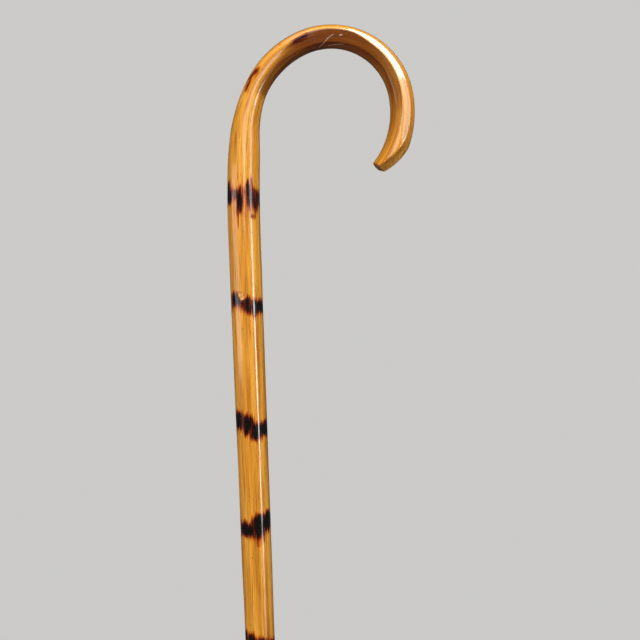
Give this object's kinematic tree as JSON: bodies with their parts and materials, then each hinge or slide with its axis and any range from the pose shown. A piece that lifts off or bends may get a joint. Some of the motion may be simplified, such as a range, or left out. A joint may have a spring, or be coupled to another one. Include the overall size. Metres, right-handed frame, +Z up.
{
  "type": "walking cane",
  "caption": "Crook-handled walking cane bent from one varnished wooden rod with scorched bands, on a push-on rubber ferrule.",
  "frame": {"origin": "centre of the ferrule's sole, on the ground", "axes": "+Z up the shaft, +X towards the side that the crook opens to, Y across the crook; the crook lies in the XZ plane"},
  "size_m": [0.1395, 0.034, 0.914],
  "materials": {
    "varnished_wood": "scorched in bands and varnished to a high gloss",
    "ferrule_rubber": "moulded, matt",
    "washer_steel": "stamped and zinc plated"
  },
  "bodies": {
    "ferrule": {"rubber_ferrule": "ferrule_rubber", "steel_washer": "washer_steel"},
    "stick": {"bentwood_stick": "varnished_wood"}
  },
  "joints": [
    {"name": "ferrule_pull_off", "type": "slide", "parent": "ferrule", "child": "stick", "axis": [0, 0, 1], "range_m": [0, 0.045]}
  ]
}
